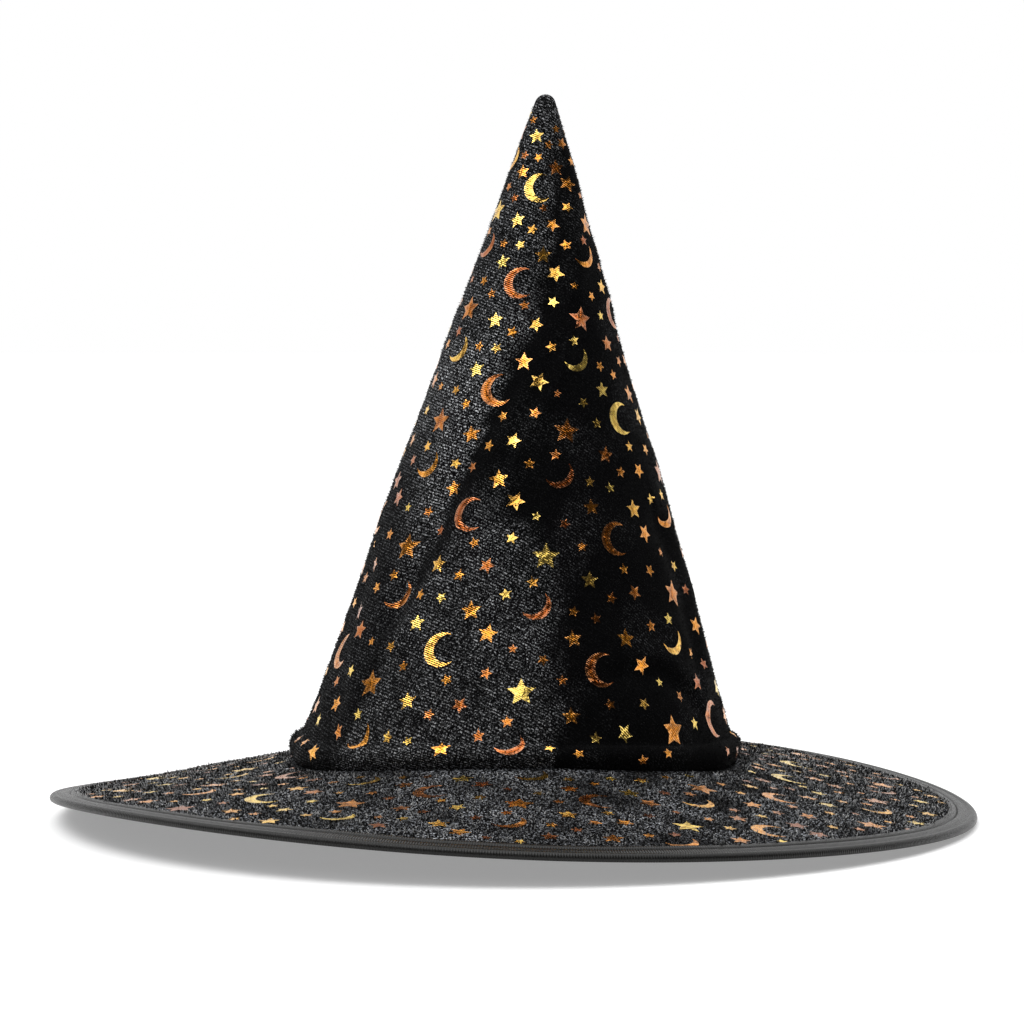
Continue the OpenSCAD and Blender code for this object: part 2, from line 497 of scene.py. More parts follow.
def brim_ring(name, low, high, steps, rings, facing):
    inner, outer = brim_in_r, hoop_r - wire_r - 0.4 * MM
    surface = high if facing > 0 else low
    # under the tape the layers are drawn together by the stitches
    radii = np.concatenate([np.linspace(inner, tape_in_r, rings), np.linspace(tape_in_r, outer, 8)[1:]])
    thinner = 1 - 0.6 * smooth(radii, tape_in_r + 1 * MM, tape_in_r + 3.2 * MM)
    piece = spun(name, [(r, brim_height(r, surface * t)) for r, t in zip(radii, thinner)], steps)
    finish_sheet(piece, (high - low) * (0.6 if facing > 0 else 1), (0, 0, facing), brim_place)
    return piece


brim_velvet = brim_ring("brim_velvet_cloth", 0.3 * MM, 1.0 * MM, 400, 56, 1)
brim_board = brim_ring("brim_board_ring", -0.6 * MM, 0.2 * MM, 180, 14, 1)
brim_under = brim_ring("brim_under_cloth", -1.0 * MM, -0.7 * MM, 240, 30, -1)

# %% [markdown]
# ## The wire, its sleeve and the tape
#
# The wire is a hoop, closed by a crimped sleeve at the back. The ribbed tape is folded round it
# and sewn through 8 mm in, so the outer part swells over the wire, a groove shows where the
# stitches pull, and the inner part lies flat as a narrow flange.

# %% Wire and sleeve
def hoop(name, radius, tube, start, end, steps, sides):
    """A tube that follows the rim between two angles in degrees, spun from a small circle."""
    bpy.ops.object.select_all(action="DESELECT")
    begin = math.radians(start)
    place = (radius * math.cos(begin), radius * math.sin(begin), wire_z)
    bpy.ops.mesh.primitive_circle_add(vertices=sides, radius=tube, fill_type="NGON", location=place,
                                      rotation=(math.radians(90), 0, begin))
    piece = bpy.context.object
    piece.name = name
    bpy.ops.object.transform_apply(location=True, rotation=True, scale=True)
    with editing(piece):
        spin_round(steps, math.radians(end - start), 0.001 * MM)
    return piece


wire = hoop("rim_wire", hoop_r, wire_r, 90.3, 449.7, 300, 12)
move_to(wire, settle(coordinates(wire)))
sleeve = hoop("rim_sleeve", hoop_r, wire_r + 0.25 * MM, 85, 95, 24, 16)
# two crimps pinch the sleeve on each end of the wire
co = coordinates(sleeve)
around = np.degrees(np.arctan2(co[:, 1], co[:, 0]))
pinch = sum(np.exp(-((around - at) / 0.35) ** 2) for at in (86.2, 88, 92, 93.8))
co[:, 2] = wire_z + (co[:, 2] - wire_z) * (1 - 0.12 * np.clip(pinch, 0, 1))
move_to(sleeve, settle(co))
for piece in (wire, sleeve):
    shade(piece, 50)
print("wire and sleeve:", len(wire.data.polygons), len(sleeve.data.polygons))

# %% Tape
# distance in from the rim, and height above the brim's middle line, in millimetres
TAPE_SECTION = [
    (12.0, -1.12), (11.0, -1.38), (9.6, -1.42), (8.8, -1.3), (8.4, -0.85), (8.0, -1.3), (6.5, -1.42),
    (4.4, -1.38), (3.3, -1.4), (2.4, -1.62), (1.5, -1.66), (0.7, -1.36), (0.2, -0.8), (0.0, 0.0),
    (0.2, 0.8), (0.7, 1.42), (1.5, 1.8), (2.3, 1.78), (3.0, 1.45), (3.5, 1.26), (4.3, 1.4), (5.8, 1.56),
    (7.3, 1.5), (7.95, 1.2), (8.4, 0.55), (8.85, 1.2), (9.4, 1.52), (10.8, 1.56), (11.7, 1.46), (12.0, 1.1)]


def tape_point(inwards, above):
    """A point of the tape, from the rim inwards along the brim's slope."""
    r = rim_r - inwards * MM
    return r, max(brim_height(r, above * MM), 0)


tape = spun("rim_tape", [tape_point(*point) for point in TAPE_SECTION], 560)
finish_sheet(tape, 0.35 * MM, (1, 0, 0), tape_place)

# %% [markdown]
# ## Sweatband and label
#
# The sweatband is the same ribbed tape, sewn to the opening's edge. It stands upright where the
# head passes, and above that it leans in with the lining. Its upper edge is free and a little
# wavy. The label is a strip of satin, folded double and caught in the lower seam at the back. It
# swings on a line a few millimetres below the seam, so the strip above that line is a piece of
# its own that stays with the hat. Otherwise the label would come off the seam as it swings.

# %% Sweatband
band_outer = opening_r + 0.8 * MM
knee_z = hem_z + 8 * MM
lining_inside = side_radius(band_top, velvet_t + 2.7 * MM)
band_profile = resampled([(band_outer - 0.25 * MM, hem_z), (band_outer, hem_z + 0.6 * MM),
                          (band_outer, knee_z), (lining_inside - 0.4 * MM, band_top)], 1.6 * MM)
sweatband = spun("sweatband_tape", band_profile, 300)
finish_sheet(sweatband, 0.7 * MM, (1, 0, 0), tape_place)

# %% Label
label_low, label_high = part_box("care_label")
label_w = label_high.x - label_low.x
bend_y, bend_z = 89.4 * MM, 15.75 * MM  # how far back and how high the line is on which it swings


def make_label():
    """A satin strip folded double: two faces that part slightly at the fold, with woven edges."""
    piece = new_grid("label_cloth", 20, 24)
    co = coordinates(piece)
    across, along = co[:, 0], (co[:, 1] + 0.5) * 2          # along runs down one face and up the other
    fold = np.where(along < 1, along, 2 - along)
    face = np.where(along < 1, -1.0, 1.0)
    open_by = 0.35 * MM * np.sin(math.pi * np.clip(fold, 0, 1) * 0.93)
    curl = 0.5 * MM * fold ** 2 * np.cos(across * 3)
    x = across * label_w * (1 - 0.015 * fold)
    y = bend_y + face * (0.12 * MM + open_by) - curl
    z = bend_z - fold * (bend_z - label_low.z)
    move_to(piece, np.stack([x, y, z], 1))
    thicken(piece, 0.12 * MM)
    print("label:", len(piece.data.polygons), "faces")
    return piece


def make_label_tab():
    """The part of the label that doesn't swing: from the settled seam down to where it bends."""
    piece = new_grid("label_tab", 20, 10)
    co = coordinates(piece)
    seam = settle([(0, bend_y, hem_z + 3.2 * MM)])[0]       # a little above the sweatband's seam
    up = co[:, 1] + 0.5
    x = co[:, 0] * label_w + seam[0] * up
    y = bend_y + (seam[1] - bend_y) * smooth(up, 0, 1)
    z = bend_z + (seam[2] - bend_z) * up
    move_to(piece, np.stack([x, y, z], 1))
    thicken(piece, 0.34 * MM)
    print("label tab:", len(piece.data.polygons), "faces, up to", seam.round(4))
    return piece


label, label_tab = make_label(), make_label_tab()

# %% [markdown]
# ## Stitches
#
# A seam is a row of separate stitches, each a short arch of thread that dips into the cloth at
# both ends. One stitch is modelled and copied along the seam, and every copy passes through the
# settled shape. A row is one piece, with a few dozen faces for each stitch.

# %% One stitch
def stitch_mesh():
    """One stitch along X, from -0.5 to 0.5, arched up in Z, with a thickness of 1 across."""
    bpy.ops.object.select_all(action="DESELECT")
    bpy.ops.mesh.primitive_cylinder_add(vertices=6, radius=0.5, depth=1, rotation=(0, math.radians(90), 0))
    piece = bpy.context.object
    bpy.ops.object.transform_apply(location=True, rotation=True, scale=True)
    with editing(piece):
        for cut in (-0.36, -0.18, 0.0, 0.18, 0.36):
            bpy.ops.mesh.select_all(action="SELECT")
            bpy.ops.mesh.bisect(plane_co=(cut, 0, 0), plane_no=(1, 0, 0))
    co = coordinates(piece)
    faces = [tuple(f.vertices) for f in piece.data.polygons]
    bpy.data.objects.remove(piece)
    return co, faces


STITCH_CO, STITCH_FACES = stitch_mesh()


def row_of_stitches(name, places, headings, ups, length, thread):
    """Copies the stitch to each place, along its heading, and joins the row into one piece."""
    arch = 1 - (2 * STITCH_CO[:, 0]) ** 2
    thin = 0.55 + 0.45 * np.sqrt(np.clip(arch, 0, 1))
    co, faces = [], []
    for place, heading, up in zip(places, headings, ups):
        side = np.cross(up, heading)
        along = STITCH_CO[:, :1] * length * heading
        across = STITCH_CO[:, 1:2] * thin[:, None] * thread * side
        above = (STITCH_CO[:, 2] * thin * thread + (arch - 0.55) * 0.5 * thread)[:, None] * up
        faces += [tuple(v + len(co) * len(STITCH_CO) for v in face) for face in STITCH_FACES]
        co.append(place + along + across + above)
    piece = new_piece(name, settle(np.concatenate(co)), faces)
    with editing(piece):
        bpy.ops.mesh.normals_make_consistent(inside=False)
    shade(piece, 70)
    print(f"{name}: {len(places)} stitches, {len(faces)} faces")
    return piece


def ring_of_stitches(name, radius, height, pitch, up_tilt, thread):
    """A row round the hat. up_tilt is the outward lean of the surface that the row lies on."""
    count = round(2 * math.pi * radius / pitch)
    angles = np.arange(count) / count * 2 * math.pi
    out = np.stack([np.cos(angles), np.sin(angles), 0 * angles], 1)
    heading = np.stack([-np.sin(angles), np.cos(angles), 0 * angles], 1)
    up = out * math.sin(up_tilt) + np.array([0, 0, 1]) * math.cos(up_tilt)
    places = out * radius + np.array([0, 0, height])
    return row_of_stitches(name, places, heading, up, 0.8 * pitch, thread)


# %% The seams
slope = math.atan(brim_slope)
groove = brim_height(stitch_r, 0.72 * MM)
tape_top = ring_of_stitches("tape_stitches_top", stitch_r, groove, 2.9 * MM, slope, 0.42 * MM)
tape_low = ring_of_stitches("tape_stitches_under", stitch_r, brim_height(stitch_r, -1.0 * MM), 2.9 * MM,
                            math.pi + slope, 0.42 * MM)
crown_row = ring_of_stitches("crown_stitches", brim_in_r + 0.5 * MM, brim_height(brim_in_r, -1.25 * MM),
                             3.2 * MM, math.pi, 0.45 * MM)
band_row = ring_of_stitches("sweatband_stitches", opening_r + 0.45 * MM, hem_z - 0.2 * MM, 3.0 * MM,
                            math.pi, 0.42 * MM)


def seam_up_the_back(name, depth, low_z, high_z, pitch, thread):
    """A row that climbs the cone at the back."""
    count = round((high_z - low_z) / math.cos(side_angle) / pitch)
    z = np.linspace(low_z, high_z, count)
    r = np.array([side_radius(value, depth) for value in z])
    places = np.stack([0 * z, r, z], 1)
    heading = np.array([[0, -math.sin(side_angle), math.cos(side_angle)]] * count)
    up = np.array([[0, math.cos(side_angle), math.sin(side_angle)]] * count)
    return row_of_stitches(name, places, heading, up, 0.8 * pitch, thread)


back_row = seam_up_the_back("cone_seam_stitches", -0.1 * MM, roll_z + roll_r + 2 * MM, tip_top - 12 * MM,
                            3.0 * MM, 0.4 * MM)

# %% [markdown]
# The lining's back seam stands up inside as a narrow fold of cloth. It is a thin strip on edge,
# made from a grid that is bent down the cone, with a slight waver.

# %% Lining seam
def make_seam_fold():
    piece = new_grid("lining_seam_fold", 3, 90)
    co = coordinates(piece)
    low, high = band_top + 2 * MM, tip_top - 34 * MM
    z = low + (co[:, 1] + 0.5) * (high - low)
    stands = (co[:, 0] + 0.5) * 1.3 * MM
    depth = velvet_t + 2.75 * MM
    r = np.array([side_radius(value, depth) for value in z]) - stands
    waver = 0.35 * MM * np.sin(z / (5 * MM)) * (co[:, 0] + 0.5)
    move_to(piece, settle(np.stack([waver, r, z], 1)))
    thicken(piece, 0.5 * MM)
    return piece


seam_fold = make_seam_fold()
print("lining seam fold:", len(seam_fold.data.polygons), "faces")

# %% [markdown]
# ## The foil print
#
# The velvet is printed with gold foil: crescent moons, one large star, and many small ones. The
# print repeats like wallpaper, in a block of 67 by 59 mm that lies slightly askew on the cloth.
# Each motif is a thin raised patch, because on real velvet the hot foil flattens the pile and
# catches the light as a surface of its own. Places in the block are a maker's choice, in
# millimetres across and down from the large crescent.

# %% The printed block
STARS = [
    # across, down, width from point to point, turn in degrees
    (11, -17, 9.8, 8), (20, -8, 9.4, -14), (24, -26, 6.0, 20), (53, -23, 5.6, -8), (63.5, -22, 5.6, 30),
    (55, -11, 8.4, 16), (31, -3, 4.6, 5), (44.5, -1, 5.6, -20), (53, 7, 5.6, 12), (22, 8.5, 6.0, -12),
    (7, 12.5, 5.6, 25), (38, 14.5, 13.2, 6), (14, 22, 7.8, -18), (59, 21.5, 8.8, 10), (2.5, 27, 6.0, -6),
    (34.5, 27, 6.0, 18)]
MOONS = [
    # across, down, outer radius, greatest width, half of the gap between its horns, direction of its hollow
    (0, 0, 8.2, 4.6, 52, 15), (39, -21.5, 7.0, 3.4, 76, 133)]
BLOCK = np.array([(66.5, 9.3), (-8.0, 58.5)])       # one step across and one step down, in mm
BLOCK_START = np.array((-27.0, 290.0))              # a large crescent, from the cone's point


def star_outline(width):
    """Corners and faces of a star: a middle, then for each arm its notch, sides, spine and point."""
    outer, inner = width / 2, width * 0.235
    corners, faces = [(0.0, 0.0)], []
    for arm in range(5):
        a = math.radians(90 + 72 * arm)
        left, right = a + math.radians(36), a - math.radians(36)
        point = np.array((math.cos(a), math.sin(a))) * outer
        notch = np.array((math.cos(right), math.sin(right))) * inner
        other = np.array((math.cos(left), math.sin(left))) * inner
        corners += [tuple(notch), tuple((notch + point) / 2), tuple(point), tuple((other + point) / 2),
                    tuple(point * 0.52)]
    for arm in range(5):
        first = 1 + 5 * arm
        notch, right, point, left, spine = range(first, first + 5)
        other = 1 + 5 * ((arm + 1) % 5)
        faces += [(0, notch, spine), (0, spine, other), (notch, right, spine), (right, point, spine),
                  (point, left, spine), (left, other, spine)]
    return np.array(corners), faces


def moon_outline(radius, thickness, gap):
    """Corners and faces of a crescent that is hollow to the right, in strips between two circles."""
    horn = radius * math.cos(math.radians(gap))
    # the inner circle passes through both horns, and leaves the greatest width at the back
    shift = (radius ** 2 - (radius - thickness) ** 2) / (2 * (horn + radius - thickness))
    hollow = shift + radius - thickness
    reach = math.pi - math.radians(gap)
    inner_reach = math.pi - math.atan2(radius * math.sin(math.radians(gap)), horn - shift)
    steps = 14
    corners, faces = [], []
    for k in range(steps + 1):
        t = 2 * k / steps - 1
        outer_turn, inner_turn = math.pi + t * reach, math.pi + t * inner_reach
        back = np.array((math.cos(outer_turn), math.sin(outer_turn))) * radius
        front = np.array((math.cos(inner_turn), math.sin(inner_turn))) * hollow + (shift, 0)
        corners += [tuple(back), tuple((back + front) / 2), tuple(front)]
    for k in range(steps):
        for row in (0, 1):
            first = 3 * k + row
            faces.append((first, first + 1, first + 4, first + 3))
    return np.array(corners) + ((radius - horn) / 2, 0), faces


def turned(corners, degrees):
    a = math.radians(degrees)
    return corners @ np.array([(math.cos(a), math.sin(a)), (-math.sin(a), math.cos(a))])


# %% [markdown]
# On the brim the block repeats evenly. On the cone the print gets smaller towards the point,
# because the cloth there was cut and eased from a narrower part of the roll. A power of the
# distance from the point does this and keeps every motif's shape.

# %% From the print to the cloth
PRINT_POWER = 0.716             # how fast the print shrinks towards the cone's point
PRINT_FULL = 245.0              # distance from the point at which the print has its full size, in mm
print_factor = PRINT_FULL ** (1 - PRINT_POWER) / PRINT_POWER


def cone_from_print(flat):
    """Print places in mm, across and down, to the angle from the front and the distance from the point."""
    reach = (np.hypot(flat[:, 0], flat[:, 1]) / print_factor) ** (1 / PRINT_POWER)
    turn = np.arctan2(flat[:, 0], flat[:, 1]) / PRINT_POWER
    return turn / math.sin(side_angle), reach * MM


surface_r, surface_z = np.array(velvet_profile).T
surface_s = np.concatenate([[0], np.cumsum(np.hypot(np.diff(surface_r), np.diff(surface_z)))])
side_point = 60                 # a point of the profile on the straight side
from_apex = (apex_z - surface_z[side_point]) / math.cos(side_angle)
surface_s += from_apex - surface_s[side_point]


def on_cone(turn, reach, proud):
    """Points of the pressed cone's velvet at an angle from the front and a distance from the point."""
    r = np.interp(reach, surface_s, surface_r)
    z = np.interp(reach, surface_s, surface_z)
    step = 0.4 * MM
    dr = np.interp(reach + step, surface_s, surface_r) - np.interp(reach - step, surface_s, surface_r)
    dz = np.interp(reach + step, surface_s, surface_z) - np.interp(reach - step, surface_s, surface_z)
    size = np.hypot(dr, dz)
    r, z = r - dz / size * proud, z + dr / size * proud
    return np.stack([r * np.sin(turn), -r * np.cos(turn), z], 1)


def on_brim(flat, proud):
    r = np.hypot(flat[:, 0], flat[:, 1]) * MM
    z = brim_height(r, 1.0 * MM) + proud
    return np.stack([flat[:, 0] * MM, -flat[:, 1] * MM, z], 1)


def blocks(across, down):
    """The start of every printed block in a range of steps."""
    for i in range(*across):
        for j in range(*down):
            yield BLOCK_START + i * BLOCK[0] + j * BLOCK[1]


# %% [markdown]
# The foil is pressed by hand and crinkles, so no two motifs are the same. Each copy gets a small
# turn and shift, its corners stand slightly uneven, and it carries a random number that the foil
# material uses to vary its colour, which paints some motifs with dim reflection.

# %% Lay the foil
PROUD = 0.22 * MM
askew = math.degrees(math.atan2(BLOCK[0][1], BLOCK[0][0]))


def lay_foil(name, shapes, to_surface, place_on_cloth, starts, seed, evener=lambda place: 1.0):
    """Lays every copy of the shapes on a surface and joins them as one piece."""
    draw = np.random.default_rng(seed)
    co, faces, tones, edges = [], [], [], []
    count = 0
    for start in starts:
        for across, down, corners, shape_faces, rim in shapes:
            shift = draw.normal(0, 0.35, 2)
            place = start + turned(np.array([(across, down)]), askew)[0] + shift
            local = turned(corners, draw.normal(0, 5) - askew) * (1, -1) * evener(place)
            lift = draw.uniform(0, 0.09, len(corners)) * MM
            # the random number for the motif's painted brightness of reflection
            tone = draw.random()
            points = to_surface(local + place, PROUD + lift)
            if points is None:
                continue
            faces += [tuple(v + count for v in face) for face in shape_faces]
            count += len(corners)
            co.append(points)
            tones.append(np.full(len(corners), tone))
            edges.append(rim)
    piece = new_piece(name, np.concatenate(co), faces)
    give_values(piece, "tone", np.concatenate(tones))
    give_values(piece, "edge", np.concatenate(edges).astype(float))
    lay_uv(piece, place_on_cloth)
    move_to(piece, settle(coordinates(piece)))
    print(f"{name}: {len(co)} motifs, {len(faces)} faces")
    return piece


def to_cone(flat, proud):
    turn, reach = cone_from_print(flat)
    past_seam = abs(turn).max() > math.radians(178)
    if past_seam or reach.min() < 17 * MM or reach.max() > surface_s[-1] - 9 * MM:
        return None
    return on_cone(turn, reach, proud)


def to_brim(flat, proud):
    r = np.hypot(flat[:, 0], flat[:, 1])
    if r.min() < 92.5 or r.max() > 187.5 or r.mean() > 183.5:
        return None
    return on_brim(flat, proud)


def keep_size(place):
    """The places draw together towards the point much more than the motifs shrink."""
    return (max(np.hypot(*place), 60) / PRINT_FULL) ** -0.28


star_shapes = []
for across, down, width, turn in STARS:
    corners, shape_faces = star_outline(width)
    # corners on the star's outline, which the foil material paints with a pale highlight
    rim = np.array([0.0] + [1, 1, 1, 1, 0] * 5)
    star_shapes.append((across, down, turned(corners, turn), shape_faces, rim))
moon_shapes = []
for across, down, radius, thickness, gap, turn in MOONS:
    corners, shape_faces = moon_outline(radius, thickness, gap)
    # the moon's outer and inner edges, which the foil material paints with a pale highlight
    rim = np.array([1.0, 0, 1] * (len(corners) // 3))
    moon_shapes.append((across, down, turned(corners, turn), shape_faces, rim))

cone_blocks = list(blocks((-8, 9), (-9, 6)))
cone_stars = lay_foil("foil_stars_cone", star_shapes, to_cone, cone_place, cone_blocks, 11, keep_size)
cone_moons = lay_foil("foil_moons_cone", moon_shapes, to_cone, cone_place, cone_blocks, 12, keep_size)
brim_shift = np.array((51.0, -105.0))       # moves the block so that a crescent lies in front
brim_blocks = [start + brim_shift for start in blocks((-5, 6), (-7, 7))]
brim_stars = lay_foil("foil_stars_brim", star_shapes, to_brim, brim_place, brim_blocks, 13)
brim_moons = lay_foil("foil_moons_brim", moon_shapes, to_brim, brim_place, brim_blocks, 14)
foils = (cone_stars, cone_moons, brim_stars, brim_moons)
for piece in foils:
    # a printed patch has one side, which faces out of the cloth
    if np.mean([f.normal.z for f in piece.data.polygons]) < 0:
        turn_over(piece)

# %% Brushing of the pile, and painted light and shade on it
# where the painted light on the pile ends, on the left and on the right of the painted shade along the fold,
# across and down in mm
LEFT_EDGE = [(7, 0), (8, 40), (5, 70), (4, 100), (-6, 125), (-18, 150), (-33, 180), (-46, 208), (-75, 270)]
RIGHT_EDGE = [(30, 110), (14, 126), (8, 142), (0, 158), (-6, 176), (-6, 196), (10, 215), (15, 290)]


def cone_brushing_and_painted_light(co):
    """How light the cone's pile looks, 0 to 1: its brushing, and painted light and shade whose edges follow
    the two long folds.
    """
    up = np.clip((co[:, 2] - LIFT - seam_z) / (tip_top - seam_z), 0, 1.1)
    angle = np.arctan2(co[:, 1] - LEAN[1] * up, co[:, 0] - LEAN[0] * up)
    x, y = on_cloth(angle, co[:, 2] - LIFT)
    x, y = x / MM, y / MM
    ragged = 6 * uneven(co, 22 * MM, 21) + 3 * uneven(co, 9 * MM, 22)
    first = distance_to_line(x, y, LEFT_EDGE)
    # painted light on the cone's left, up to the long fold; weaker high up, with painted shade towards the
    # far left lower down
    left = smooth(-first + ragged * 0.3, -4, 5)
    left *= 0.42 + 0.36 * smooth(y, 90, 135)
    left *= 1 - 0.8 * smooth(y, 120, 175) * smooth(-x, 38, 68)
    second = distance_to_line(x, y, RIGHT_EDGE)
    # painted light on the lower middle, right of the fold
    middle = smooth(-second + 0.6 * ragged, -10, 10) * smooth(y, 165, 205) * 0.46
    # a band of painted shade along the fold, between the two lit parts
    middle *= smooth(first + 8 * smooth(y, 205, 235), 4, 18)
    # painted shade on the right, with faint patches
    right = 0.008 + 0.06 * np.clip(uneven(co, 30 * MM, 23), 0, 1)
    # painted light along the foot, on the left and middle, in patches
    foot = 0.30 * smooth(y, 258, 276) * np.clip(0.4 + uneven(co, 24 * MM, 24), 0, 1)
    foot *= smooth(-x, -45, 0)
    front = np.maximum.reduce([left, middle, right, foot])
    # round the back, the painted light and shade give way to an even middle value in patches
    behind = smooth(abs(np.arctan2(co[:, 0], -co[:, 1])), math.radians(95), math.radians(140))
    return np.clip(front + (0.24 + 0.12 * uneven(co, 30 * MM, 23) - front) * behind, 0, 1)


def brim_brushing_and_painted_sheen(co):
    # patches where the pile lies differently
    patches = 0.66 + 0.26 * uneven(co, 34 * MM, 25) + 0.18 * uneven(co, 14 * MM, 26)
    # painted sheen: the brim's sides, seen at a slant, are painted lighter
    patches += 0.30 * smooth(abs(co[:, 0]), 90 * MM, 130 * MM)
    return np.clip(patches, 0.2, 1)


# %% [markdown]
# ## Standing pile
#
# Velvet has a standing pile: short fibres that stand up from the ground cloth. They are what
# makes the brim sparkle when one looks along it, and what softens the cone's outline. Each tuft
# of fibres is one small blade, with painted shade at its root. It takes the brushing and painted
# light of the cloth beneath it, and about three blades in ten are painted bright as glints. Foil
# presses the pile flat, so none stands in a motif.

# %% Pile
def brim_ground(count, draw):
    """Places on the pressed brim, evenly spread, with the direction in which the pile stands."""
    inner, outer = brim_in_r + 5 * MM, tape_in_r + 1.5 * MM
    r = np.sqrt(draw.uniform(inner ** 2, outer ** 2, count))
    turn = draw.uniform(-math.pi, math.pi, count)
    places = np.stack([r * np.sin(turn), -r * np.cos(turn), brim_height(r, 0.95 * MM)], 1)
    lean = math.atan(brim_slope)
    ups = np.stack([math.sin(lean) * np.sin(turn), -math.sin(lean) * np.cos(turn), 0 * r + math.cos(lean)], 1)
    return places, ups


def cone_ground(count, draw):
    reach = np.sqrt(draw.uniform((16 * MM) ** 2, (surface_s[-1] - 7 * MM) ** 2, count))
    turn = draw.uniform(-math.pi, math.pi, count)
    places = on_cone(turn, reach, -0.05 * MM)
    ups = on_cone(turn, reach, 1.0) - on_cone(turn, reach, 0.0)
    return places, ups


def grow_pile(name, ground, count, height, width, foil_pieces, brushing_and_painted_light, seed):
    """Stands small blades on the cloth, away from the foil, and gives each its painted light, with a painted
    glint on some and painted shade at the root.
    """
    draw = np.random.default_rng(seed)
    places, ups = ground(count, draw)
    settled = settle(places)
    flat = []
    for piece in foil_pieces:
        tree = BVHTree.FromPolygons(coordinates(piece).tolist(),
                                    [tuple(f.vertices) for f in piece.data.polygons])
        flat.append([tree.find_nearest(Vector(place), 0.4 * MM)[0] is not None for place in settled])
    free = ~np.any(flat, axis=0)
    places, ups, settled = places[free], ups[free], settled[free]
    side = np.cross(ups, draw.normal(size=ups.shape))
    side /= np.linalg.norm(side, axis=1, keepdims=True)
    tall = draw.uniform(0.6, 1.25, (len(places), 1)) * height
    lean = draw.normal(0, 0.6, ups.shape) * tall
    left, right = places - side * width / 2, places + side * width / 2
    tip = places + ups * tall + lean
    co = np.stack([left, right, tip], 1).reshape(-1, 3)
    piece = new_piece(name, settle(co), np.arange(len(co)).reshape(-1, 3).tolist())
    # painted light of the cloth beneath, with about three blades in ten painted bright as glints
    light = brushing_and_painted_light(settled) * np.where(draw.random(len(places)) < 0.30, 1.0, 0.02)
    # painted shade at each blade's root: its two root corners get a quarter of the light of its tip
    give_values(piece, "nap_and_painted_light", (light[:, None] * np.array([0.25, 0.25, 1.0])).ravel())
    print(f"{name}: {len(places)} blades of {count} outside the foil")
    return piece


brim_pile = grow_pile("brim_pile", brim_ground, 120000, 0.6 * MM, 0.8 * MM, (brim_stars, brim_moons),
                      brim_brushing_and_painted_sheen, 31)
cone_pile = grow_pile("cone_pile", cone_ground, 110000, 0.5 * MM, 0.4 * MM, (cone_stars, cone_moons),
                      cone_brushing_and_painted_light, 32)

# %% [markdown]
# ## Finishes
#
# A short helper adds nodes and links, so that each finish reads as a list of steps.

